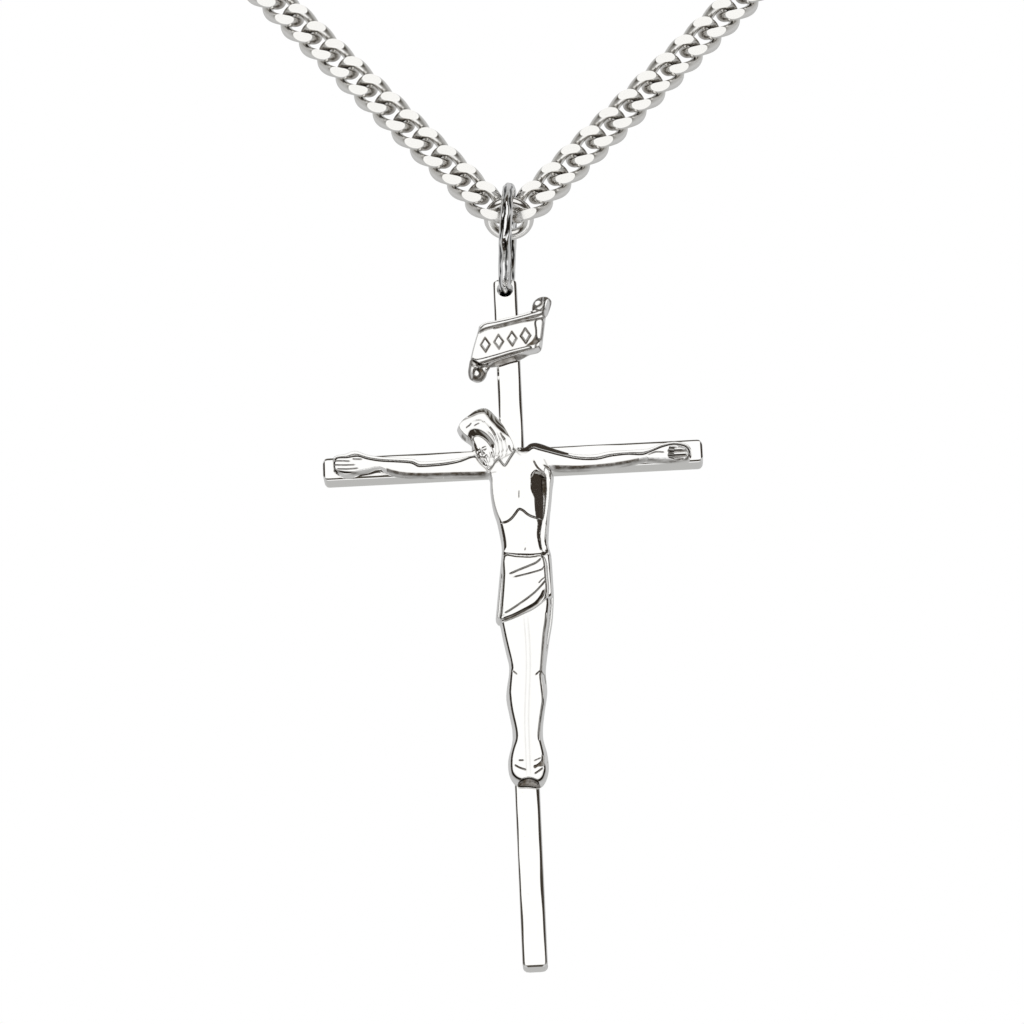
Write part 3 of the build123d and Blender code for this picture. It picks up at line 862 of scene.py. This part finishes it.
def relief(name, outlines, low, high, cell, surface_at):
    """Closed piece over the outlines, with a flat back on the front plane of the bars."""
    nx, nz = (int((high[k] - low[k]) / cell) + 1 for k in (0, 1))
    x, z = np.meshgrid(low[0] + cell * np.arange(nx), low[1] + cell * np.arange(nz),
                       indexing="ij")
    inset = np.maximum.reduce([inside_distance(o, x, z, margin=0.5) for o in outlines])
    slope_x, slope_z = np.gradient(inset, cell)
    slope2 = np.maximum(slope_x ** 2 + slope_z ** 2, 0.25)
    # grid points near the edge are moved onto it
    near = np.abs(inset) < 0.5 * cell
    x = np.where(near, x - inset * slope_x / slope2, x)
    z = np.where(near, z - inset * slope_z / slope2, z)
    kept = inset > -0.5 * cell
    # cells with four kept corners become quads, with three triangles
    corners = ((0, 0), (1, 0), (1, 1), (0, 1))
    count = kept[:-1, :-1].astype(int) + kept[1:, :-1] + kept[1:, 1:] + kept[:-1, 1:]
    used = np.zeros(x.shape, bool)
    rows, columns = np.nonzero(count >= 3)
    for di, dj in corners:
        used[rows + di, columns + dj] = True
    used &= kept
    index = -np.ones(x.shape, int)
    n = int(used.sum())
    index[used] = np.arange(n)
    faces = []
    for wanted in (4, 3):
        for i, j in zip(*np.nonzero(count == wanted)):
            face = (int(index[i + di, j + dj]) for di, dj in corners)
            faces.append(tuple(k for k in face if k >= 0))
    # a dict keeps the edges in order
    edges = dict.fromkeys((a, b) for f in faces for a, b in zip(f, f[1:] + f[:1]))
    border = [(a, b) for a, b in edges if (b, a) not in edges]
    faces += [tuple(k + n for k in reversed(face)) for face in faces]
    faces += [(b, a, a + n, b + n) for a, b in border]

    x, z = x[used], z[used]
    surface = surface_at(x, z, np.maximum(np.where(near, 0, inset)[used], 0))
    points = np.vstack([np.column_stack([x, FRONT - surface.height, z]),
                        np.column_stack([x, np.full(n, FRONT), z])])
    piece = mesh_object(name, points, faces)
    # only the rim is a sharp edge
    rim = np.zeros(2 * n, bool)
    for a, b in border:
        rim[[a, b, a + n, b + n]] = True
    ends = np.empty(len(piece.data.edges) * 2, np.int32)
    piece.data.edges.foreach_get("vertices", ends)
    ends = ends.reshape(-1, 2)
    sharp = rim[ends].all(1) & ((ends < n).all(1) | (ends >= n).all(1))
    attribute = piece.data.attributes.new("sharp_edge", "BOOLEAN", "EDGE")
    attribute.data.foreach_set("value", sharp)
    set_patina_and_painted_shade(piece, np.concatenate([np.clip(surface.tarnish_and_shade, 0, 1), np.zeros(n)]))
    return piece


# ---------------------------------------------------------------- figure
def add_arms(body):
    x, inset = body.x, body.inset
    rise = np.clip(1 - (np.abs(x - 0.45) - 1.7) / 3.6, 0, 1)
    height = 0.74 + 0.23 * rise * rise * (3 - 2 * rise)
    free = fade(-1.60 - x, 0.3) + fade(x - 2.55, 0.3)
    lower = fade(interpolate(x, ARM_MIDDLE) - body.z, 0.12) * free
    for outline in (ARM_LEFT_TOP, ARM_RIGHT_TOP):
        distance = body.add_part(outline, height)
        # painted shade: darker along the lower side of the arms
        body.darken(0.90 * band(distance - 0.01, 0.060) * lower * fade(inset - 0.02, 0.05))
        body.darken(0.97 * fade(inset - 0.03, 0.05) * fade(0.225 - inset, 0.05) * lower
                    * (distance > -0.02) * (np.abs(x) < 8.4))


def add_torso(body):
    x, z = body.x, body.z
    body.add_part(TORSO, 0.80, drop=np.where(x > 0, 0.03, 0.082),
                  bevel=np.where(x > 0, 0.06, 0.165))
    # the chest stands higher, behind a wide slope
    body.rise_to(0.97 - 0.49 * np.maximum(0.03 - body.inside(CHEST, margin=1.2), 0))
    # the hollow beside the ribs slopes from the chest down to a strip along the right side
    hollow = body.inside(HOLLOW)
    past_chest = x - interpolate(-z, CHEST_EDGE)
    body.height = np.where(hollow > 0, 0.95 - 0.49 * np.clip(past_chest, 0, 1.3), body.height)
    strip = body.inside(STRIP)
    body.height = np.where(strip > 0, 0.80, body.height)
    # painted dark reflection in the hollow, along the chest's edge and beside the strip
    body.darken(0.95 * band(hollow, 0.05) * (z > -1.80) * (strip < 0.02))
    left_of_strip = (x < interpolate(-z, HOLLOW_EDGE)) & (z < -1.35)
    body.darken(left_of_strip * band(strip + 0.03, 0.05))
    body.darken(np.where((hollow > 0) & (strip < 0),
                         0.95 * np.clip((past_chest - 0.62) / 0.12, 0, 1), 0))


def add_legs_and_cloth(body):
    legs = body.add_part(LEGS, 0.88)
    # painted dark reflection along the edges of the feet
    body.darken(0.97 * band(legs - 0.01, 0.085) * fade(-21.70 - body.z, 0.2))   # feet
    cloth = body.add_part(CLOTH_TOP, 1.05, drop=0.10)
    whole = body.inside(CLOTH)
    body.rise_to(np.where(whole > 0, plateau(whole - 0.10, 0.84), 0))
    # soft rolls above two of the folds
    for fold, radius, height in ((FOLD_UPPER, 0.16, 0.05), (FOLD_LOWER, 0.20, 0.06)):
        distance, _ = line_distance([(a - 0.05, b + 0.17) for a, b in fold], body.x, body.z)
        body.height += np.where(cloth > 0.05, height * band(distance, radius), 0)


def add_lines(body):
    body.draw_lines(CLOTH_LINES, tarnish_and_shade_share=0.62)
    body.draw_lines(BODY_LINES, tarnish_and_shade_share=0.74)
    # the gap between the legs, and a faint dark line beside it
    for shift, depth in ((0.0, 0.045), (-0.25, 0.0)):
        body.draw_line([(a + shift, b) for a, b in LEG_GAP], depth, half=0.14,
                       tarnish_and_shade=0.17, tarnish_and_shade_half=0.055)
    shade = body.inside(TOE_SHADE)
    body.height -= 0.03 * fade(shade, 0.05)
    body.darken(0.95 * np.clip(shade / 0.03 + 0.5, 0, 1))


def add_hands(body):
    for line in FINGERS:
        body.draw_line(line, depth=0.05, half=0.07, tarnish_and_shade=0.75, tarnish_and_shade_half=0.045)
    # the closed right hand slopes away from a ridge, with ripples for the fingers
    hand = body.inside(HAND_RIGHT)
    distance, _ = line_distance(HAND_RIDGE, body.x, body.z, margin=1.5)
    ripple = np.cos((body.z + 0.35) * 2 * math.pi / 0.34)
    slope = 0.74 - 0.55 * np.clip(distance - 0.04, 0, 0.42)
    body.height = np.where(
        hand > 0, np.minimum(body.height, slope) + 0.03 * ripple * fade(hand, 0.1),
        body.height)
    # painted shade between the fingers, lighter on the ridges
    body.darken(np.where(hand > 0.02, 0.80 * np.clip(0.25 - ripple, 0, 1), 0)
                * np.clip(distance / 0.1, 0.4, 1))


def add_ledge(body):
    """Ledge under the feet, darkened all over with painted dark reflection."""
    ledge = body.inside(LEDGE)
    slope = np.maximum(0.88 - 0.75 * ledge / 0.5 - 0.20 * fade(ledge, 0.05), 0.45)
    body.height = np.where(ledge > 0, slope, body.height)
    body.darken(np.where(ledge > 0, 0.88, 0))


FACE_CENTRE = np.array([-2.16, 0.30])
FACE_TILT = math.radians(23.0)
FACE_SCALE = 1.12
FACE_UP = np.array([-math.sin(FACE_TILT), math.cos(FACE_TILT)])
FACE_ACROSS = np.array([math.cos(FACE_TILT), math.sin(FACE_TILT)])
FACE_MIDDLE = 0.13        # the face is turned: its middle is shifted to the right
LEFT_SHARE = 0.66         # and its left half is narrower


def from_face(across, up):
    across = across * (LEFT_SHARE if across < 0 else 1.0) + FACE_MIDDLE
    return tuple(FACE_CENTRE + across * FACE_SCALE * FACE_ACROSS + up * FACE_SCALE * FACE_UP)


def face_height(u, v, oval, lean):
    """Height of the face at u across and v up."""
    height = 0.94 - lean + 0.15 * np.sqrt(np.clip(1.15 - oval, 0, 1.15))
    for across, up, radius_u, radius_v, amount, turn in FACE_BUMPS:
        for side in ((-1, 1) if across else (1,)):
            cos, sin = math.cos(turn), math.sin(-side * turn)
            du, dv = u - side * across, v - up
            height += amount * np.exp(-(((du * cos + dv * sin) / radius_u) ** 2
                                        + ((-du * sin + dv * cos) / radius_v) ** 2))
    beard = fade(-(v + 0.44) - 0.10 + 0.55 * np.abs(u), 0.10) * fade(0.52 - np.abs(u), 0.10)
    strands = np.cos(2 * math.pi * u / 0.14 + 2.2 * np.sin(2.5 * v))
    return height + beard * (0.040 + 0.004 * strands)


def add_head(body):
    x, z = body.x, body.z
    hair = body.inside(HAIR)
    dx, dz = x - FACE_CENTRE[0], z - FACE_CENTRE[1]
    u = dx * FACE_ACROSS[0] + dz * FACE_ACROSS[1]
    v = dx * FACE_UP[0] + dz * FACE_UP[1]
    # the mass of the head
    lean = 0.21 * np.maximum(0.40 - u, 0)
    height = 1.11 - 0.02 * ((v - 0.4) / 1.6) ** 2 - lean
    height = height - 0.9 * np.clip(0.11 - hair, 0, 0.11) - 4.0 * np.clip(-hair, 0, 1)
    # the crown and the right side fall away in a broad slope
    angle = np.degrees(np.arctan2(z - 1.0, x + 1.55))
    width = 0.64 * np.sin(math.pi * np.clip(angle / 142, 0, 1)) ** 0.65
    fall = np.maximum(width - hair, 0)
    head = Surface(x, z, body.inset, np.minimum(height, 1.10 - 0.47 * fall - 0.30 * fall ** 2))
    # painted dark reflection along the inner edge of that slope
    head.darken(np.where((hair > 0) & (width > 0.1), 0.8 * band(hair - width, 0.05), 0))
    head.draw_lines(HAIR_LINES, tarnish_and_shade_share=0.75, where=hair > 0, steps=6)
    ripple = 0.005 * np.sin(26.0 * (0.9 * u - 0.15 * np.sin(3.0 * v)))
    # the face
    u, v = u / FACE_SCALE - FACE_MIDDLE, v / FACE_SCALE
    u = np.where(u < 0, u / LEFT_SHARE, u)
    oval = (u / 0.62) ** 2 + ((v + 0.05) / 1.06) ** 2
    face = fade(1.10 - oval, 0.12)
    face = face ** 2 * (3 - 2 * face)
    upper = fade(v - 0.05 + 0.35 * u, 0.30)
    fringe = fade(2.05 - oval, 0.95)
    height = (head.height + ripple * fade(hair - 0.12, 0.1) * (1 - face)
              - 0.20 * fringe * upper)
    head.height = height * (1 - face) + face_height(u, v, oval, lean) * face
    lines = [(depth, half, tarnish_and_shade, [[from_face(*point) for point in line] for line in group])
             for depth, half, tarnish_and_shade, group in FACE_LINES]
    head.draw_lines(lines, tarnish_and_shade_share=1.15, where=face > 0)
    # painted shade along the outline between the hair and the face, and over the fringe
    outline = band(oval - 1.04, 0.10) + 0.8 * band(oval - 2.0, 0.14)
    head.darken((hair > 0.05) * 0.85 * outline * upper)
    head.darken((hair > 0.05) * 0.45 * fringe * (1 - face) * upper)
    # fine line of painted shade where the lower edge meets the shoulder
    head.darken(0.85 * band(hair, 0.045) * fade(1.9 - z, 0.4) * (body.inset > 0.20))
    body.height = np.where(
        hair > 0.05, head.height,
        np.where(hair > -0.3, np.maximum(body.height, head.height), body.height))
    body.darken(head.tarnish_and_shade)


def corpus_surface(x, z, inset):
    body = Surface(x, z, inset, 0.16)
    for add in (add_arms, add_torso, add_legs_and_cloth, add_lines, add_hands, add_ledge,
                add_head):
        add(body)
    # every outline ends on a steep flank
    body.height = np.minimum(body.height, 0.15 + 5.0 * inset)
    return body


# ---------------------------------------------------------------- scroll
FIELD_HEIGHT = 0.46
LOZENGE_WIDE, LOZENGE_HIGH = 0.33, 0.54              # half sizes
LOZENGE_SLOPE = math.tan(math.radians(10.6))         # of the row
# Spirals in the curls: centre x, z, start and end radius, start angle, direction
SPIRALS = [(2.30, 10.92, 0.16, 0.60, 0.6, 1), (-2.14, 6.10, 0.14, 0.50, 3.6, -1)]


def add_spirals(scroll):
    for x, z, start, end, angle, turn in SPIRALS:
        line = []
        for t in np.linspace(0, 1, 14):
            radius = start + (end - start) * t
            at = angle + turn * 1.55 * math.pi * t
            line.append((x + radius * math.cos(at), z + radius * math.sin(at)))
        scroll.draw_line(line, depth=0.10, half=0.085, tarnish_and_shade=0.9, tarnish_and_shade_half=0.065)


def add_lozenges(scroll):
    for x in (-1.48, -0.57, 0.34, 1.25):
        z = 8.36 + LOZENGE_SLOPE * (x + 0.45)
        distance = scroll.inside([(x - LOZENGE_WIDE, z), (x, z + LOZENGE_HIGH),
                                  (x + LOZENGE_WIDE, z), (x, z - LOZENGE_HIGH)],
                                 margin=0.6, smooth=False)
        scroll.rise_to(np.minimum(FIELD_HEIGHT + 0.75 * np.maximum(distance, -0.01), 0.54))
        # tarnishing and painted shade in the sunk groove round each lozenge
        edge = np.clip(1.35 - np.abs(distance + 0.01) / 0.055, 0, 1)
        scroll.height -= 0.05 * edge
        scroll.darken(edge)


def scroll_surface(x, z, inset):
    scroll = Surface(x, z, inset, 0.30)
    nearest = np.full(x.shape, -9.0)
    for height, outline in [(FIELD_HEIGHT, FIELD), (0.58, TAB_LOWER)] + SCROLL_PARTS:
        distance = scroll.inside(outline, margin=0.6)
        scroll.rise_to(plateau(distance, height, drop=0.07, bevel=0.10))
        if outline not in (FIELD, TAB_LOWER):
            nearest = np.maximum(nearest, distance)
            # tarnishing and painted shade along the outline of each part
            scroll.darken(0.95 * band(distance + 0.035, 0.050))
    add_spirals(scroll)
    add_lozenges(scroll)
    # painted shade and tarnishing on the ground in the curls, in the right corner of the plate
    # and under the lower bar
    ground = fade(-nearest - 0.02, 0.05)
    for outline, tarnish_and_shade in ((CURL_RIGHT, 1.0), (CURL_LEFT, 0.95), (FAR_CORNER, 1.0)):
        scroll.darken(tarnish_and_shade * ground * fade(scroll.inside(outline, margin=0.6), 0.05))
    bar = interpolate(x, [(-2.4, 6.55), (2.2, 7.62)])
    scroll.darken(ground * fade(bar + 0.10 - z, 0.10)
                  * np.clip(0.85 - 1.3 * np.maximum(bar - z - 0.1, 0), 0.30, 1)
                  * (x < 2.3) * (x > -1.9))
    scroll.height = np.minimum(scroll.height, 0.16 + 2.6 * inset)
    return scroll


corpus = relief("corpus_relief", (TRUNK, ARM_LEFT, ARM_RIGHT, HAIR), (-12.3, -23.3),
                (12.3, 4.2), CELL, corpus_surface)
hand_over(corpus, "corpus", "cross", "cast_silver")
scroll = relief("titulus_scroll_relief", (PLATE, CURL_RIGHT, CURL_LEFT), (-3.1, 5.2),
                (3.4, 12.0), CELL * 0.8, scroll_surface)
hand_over(scroll, "titulus_scroll", "cross", "cast_silver")

# ---------------------------------------------------------------- bars
BAR_CORNER = 0.34         # corner radius seen from the front
BACK_RADIUS = 0.13        # rounding of the back edges
BAR_END = [(0.0, 0.12), (0.035, 0.060), (0.155, 0.0), (0.24, 0.0), (BAR_CORNER, 0.0)]
# BAR_END: distance from the end, inset of the section
EDGE_WAVES = (0.22, 0.16, 0.10)


def corner_inset(place, length):
    from_end = min(place, length - place)
    if from_end >= BAR_CORNER:
        return 0.0
    squared = BAR_CORNER ** 2 - (BAR_CORNER - from_end) ** 2
    return BAR_CORNER - math.sqrt(max(squared, 0.0))


def edge_width(mean, place, rates, phases):
    """Width of a broken edge, which wavers along the bar."""
    return mean * sum((wave * math.sin(rate * place + phase)
                       for wave, rate, phase in zip(EDGE_WAVES, rates, phases)), 1)


def bar_section(half, inset, low, high):
    """(across, y) of one section; low and high are the widths of its broken front edges."""
    front, back = FRONT + inset, -inset
    rise = 0.577          # depth of a broken edge over its width
    section = [(-half, front + 0.06 + rise * low), (-half + 0.035, front + rise * low),
               (-half + 0.035 + low, front), (half - 0.035 - high, front),
               (half - 0.035, front + rise * high), (half, front + 0.06 + rise * high)]
    for side, start in ((1, 0), (-1, 90)):
        for k in range(5):
            angle = math.radians(start + 90 * k / 4)
            section.append((side * (half - BACK_RADIUS) + BACK_RADIUS * math.cos(angle),
                            back - BACK_RADIUS + BACK_RADIUS * math.sin(angle)))
    return section


def make_bar(name, half_length, middle, upright, low_edge, high_edge, seed):
    phases = np.random.RandomState(seed).uniform(0, 6.28, 8)
    length = 2 * half_length
    stations = (BAR_END + [(place, 0.0) for place in np.arange(0.63, length - 0.6, 0.37)]
                + [(length - place, inset) for place, inset in reversed(BAR_END)])
    points = []
    for place, inset in stations:
        low = edge_width(low_edge, place, (0.31, 0.83, 2.1), phases[:3])
        high = edge_width(high_edge, place, (0.27, 0.91, 1.9), phases[3:6])
        half = BAR / 2 - max(corner_inset(place, length), inset)
        along = place - half_length + middle
        for across, y in bar_section(half, inset, low, high):
            points.append((across, y, along) if upright else (along, y, across))
    first, last = end_loops(len(stations), 16)
    bar = mesh_object(name, points, skin(len(stations), 16) + [first[::-1], last])
    recalculate_normals(bar)
    return bar


def cut(piece, tool):
    modifier = piece.modifiers.new("cut", "BOOLEAN")
    modifier.operation = "DIFFERENCE"
    modifier.solver = "EXACT"
    modifier.object = tool
    depsgraph = bpy.context.evaluated_depsgraph_get()
    mesh = bpy.data.meshes.new_from_object(piece.evaluated_get(depsgraph))
    piece.modifiers.clear()
    piece.data = mesh
    bpy.data.objects.remove(tool)


def box_tool(half_x, y_range, half_z):
    points = [(x, y, z) for x in (-half_x, half_x) for y in y_range
              for z in (-half_z, half_z)]
    faces = [(0, 1, 3, 2), (4, 6, 7, 5), (0, 4, 5, 1), (2, 3, 7, 6), (0, 2, 6, 4),
             (1, 5, 7, 3)]
    return mesh_object("tool", points, faces, smooth=False)


def hole_tool():
    """Rod along y, slightly wider at both faces of the bar."""
    sides = 96
    # y, extra radius
    profile = [(-1.75, 0.165), (-1.60, 0.015), (-1.58, 0), (-0.02, 0), (0.0, 0.015),
               (0.15, 0.165)]
    points = []
    for y, extra in profile:
        radius = HOLE_RADIUS + extra
        for k in range(sides):
            angle = 2 * math.pi * k / sides
            points.append((radius * math.cos(angle), y, HOLE_Z + radius * math.sin(angle)))
    first, last = end_loops(len(profile), sides)
    tool = mesh_object("tool", points, skin(len(profile), sides) + [first[::-1], last],
                       smooth=False)
    recalculate_normals(tool)
    return tool


# the bars are halved into each other where they cross
upright = make_bar("cross_upright_bar", UPRIGHT_HALF, UPRIGHT_TOP - UPRIGHT_HALF, True,
                   low_edge=0.10, high_edge=0.14, seed=5)
cut(upright, hole_tool())
cut(upright, box_tool(0.95, (-BAR / 2, 0.2), BAR / 2))
crossbar = make_bar("crossbar_bar", CROSSBAR_HALF, 0.0, False,
                    low_edge=0.10, high_edge=0.11, seed=9)
cut(crossbar, box_tool(BAR / 2, (-1.8, -BAR / 2), 0.95))
for bar, node in ((upright, "cross_upright"), (crossbar, "crossbar")):
    bar.data.polygons.foreach_set("use_smooth", [True] * len(bar.data.polygons))
    bar.data.set_sharp_from_angle(angle=math.radians(20))
    hand_over(bar, node, "cross", "cross_silver")
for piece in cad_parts.values():
    dress(piece, "chain_silver")


# ---------------------------------------------------------------- floor and lights, in m
def make_floor():
    half, level = 3, -0.16
    mesh = bpy.data.meshes.new("floor")
    mesh.from_pydata([(-half, -half, level), (half, -half, level), (half, half, level),
                      (-half, half, level)], [], [(0, 1, 2, 3)])
    floor = link_object("floor", mesh)
    material = bpy.data.materials.new("pale_floor")
    material.use_nodes = True
    shader = material.node_tree.nodes["Principled BSDF"]
    shader.inputs["Base Color"].default_value = (0.97, 0.97, 0.97, 1)
    shader.inputs["Roughness"].default_value = 0.9
    mesh.materials.append(material)
    floor.visible_glossy = False
    floor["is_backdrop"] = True


def make_light(name, location, power):
    data = bpy.data.lights.new(name, "AREA")
    data.energy = power
    data.size = 0.30
    light = bpy.data.objects.new(name, data)
    light.location = location
    aim = Vector((0, 0, -0.02)) - Vector(location)
    light.rotation_euler = aim.to_track_quat("-Z", "Y").to_euler()
    light.visible_glossy = False
    bpy.context.scene.collection.objects.link(light)


make_floor()
make_light("key", (-0.25, -0.35, 0.45), power=3.0)
make_light("fill", (0.35, -0.30, 0.30), power=1.5)

# ---------------------------------------------------------------- world
# Brightness from straight behind (0) to straight in front (1) of TENT_DIRECTION
TENT_STOPS = [
    (0.0, (0.50, 0.50, 0.49)), (0.13, (0.56, 0.56, 0.56)), (0.40, (0.60, 0.60, 0.60)),
    (0.60, (0.50, 0.50, 0.49)), (0.69, (0.36, 0.355, 0.34)), (0.745, (0.085, 0.076, 0.060)),
    (0.785, (0.042, 0.034, 0.026)), (0.85, (0.040, 0.031, 0.025)),
    (0.875, (0.052, 0.040, 0.031)), (0.905, (1.06, 1.06, 1.05)), (1.0, (1.07, 1.07, 1.06))]
TENT_DIRECTION = Vector((-0.017, -0.9376, 0.3476)).normalized()


def make_world(scene):
    """Round white light tent with dark surroundings, seen only in reflections.

    All other rays see plain white."""
    world = bpy.data.worlds.new("studio")
    scene.world = world
    world.use_nodes = True
    tree = world.node_tree
    tree.nodes.clear()
    output = add_node(tree, "OutputWorld")
    place = add_node(tree, "TexCoord").outputs["Generated"]
    direction = add_node(tree, "VectorMath", {0: place}, operation="NORMALIZE").outputs[0]
    facing = add_node(tree, "VectorMath", {0: direction, 1: TENT_DIRECTION},
                      operation="DOT_PRODUCT")
    # the rings waver a little
    waver = noise(tree, direction, scale=2.2, detail=2.0)
    waver = add_node(tree, "Math", {0: waver, 1: 0.16, 2: -0.08}, operation="MULTIPLY_ADD")
    total = add_node(tree, "Math", {0: facing.outputs["Value"], 1: waver.outputs[0]},
                     operation="ADD")
    ramp = add_node(tree, "ValToRGB", {"Fac": remap(tree, total.outputs[0], (-1, 1))})
    ramp.color_ramp.interpolation = "EASE"
    elements = ramp.color_ramp.elements
    for element, (position, colour) in zip(elements, (TENT_STOPS[0], TENT_STOPS[-1])):
        element.position = position
        element.color = (*colour, 1)
    for position, colour in TENT_STOPS[1:-1]:
        elements.new(position).color = (*colour, 1)
    # a white patch low down, for a bright line along the round wires
    axes = add_node(tree, "SeparateXYZ", {0: direction}).outputs
    sideways = add_node(tree, "Math", {0: axes["X"]}, operation="ABSOLUTE").outputs[0]
    patch = None
    for axis, limits in ((sideways, (0.50, 0.32)), (axes["Z"], (-0.76, -0.84)),
                         (axes["Y"], (0.30, 0.15))):
        mask = remap(tree, axis, limits, interpolation_type="SMOOTHSTEP")
        patch = mask if patch is None else add_node(
            tree, "Math", {0: patch, 1: mask}, operation="MULTIPLY").outputs[0]
    colour = add_node(tree, "Mix", {MIX_FACTOR: patch, MIX_A: ramp.outputs["Color"],
                                    MIX_B: (1.05, 1.05, 1.05, 1)}, data_type="RGBA")
    tent = add_node(tree, "Background", {"Color": colour.outputs[2]})
    white = add_node(tree, "Background", {"Color": (1, 1, 1, 1), "Strength": 1.0})
    rays = add_node(tree, "LightPath")
    seen = add_node(tree, "MixShader", {0: rays.outputs["Is Glossy Ray"],
                                        1: white.outputs[0], 2: tent.outputs[0]})
    tree.links.new(seen.outputs[0], output.inputs[0])


# ---------------------------------------------------------------- camera
def rotated(vector, axis, degrees):
    angle = math.radians(degrees)
    vector, axis = np.array(vector, float), unit(axis)
    return (vector * math.cos(angle) + np.cross(axis, vector) * math.sin(angle)
            + axis * (axis @ vector) * (1 - math.cos(angle)))


def make_camera(scene):
    """Camera in front, looking up from below and very nearly square on."""
    data = bpy.data.cameras.new("camera")
    data.sensor_width = 36.0
    data.lens = 131.1461015625
    data.clip_start = 0.01
    data.clip_end = 20.0
    camera = bpy.data.objects.new("camera", data)
    scene.collection.objects.link(camera)

    distance = 249.0
    azimuth, elevation, roll = (math.radians(a) for a in (1.0, -20.3513, -2.54415))
    pan, tilt = 0.00857, -0.80537   # deg
    backward = np.array([math.sin(azimuth) * math.cos(elevation),
                         -math.cos(azimuth) * math.cos(elevation), math.sin(elevation)])
    place = np.array([0, FRONT, 0]) + backward * distance
    forward = -backward
    right = unit(np.cross(forward, [0, 0, 1]))
    up = np.cross(right, forward)
    right, up = (right * math.cos(roll) + up * math.sin(roll),
                 -right * math.sin(roll) + up * math.cos(roll))
    forward, right = rotated(forward, up, pan), rotated(right, up, pan)
    forward, up = rotated(forward, right, tilt), rotated(up, right, tilt)
    matrix = Matrix.Identity(4)
    for i in range(3):
        matrix[i][:] = right[i], up[i], -forward[i], place[i] * MM
    camera.matrix_world = matrix
    scene.camera = camera


scene = bpy.context.scene
make_world(scene)
make_camera(scene)
scene.view_settings.view_transform = "Standard"
scene.view_settings.look = "None"

bounds_vis = plain(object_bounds())
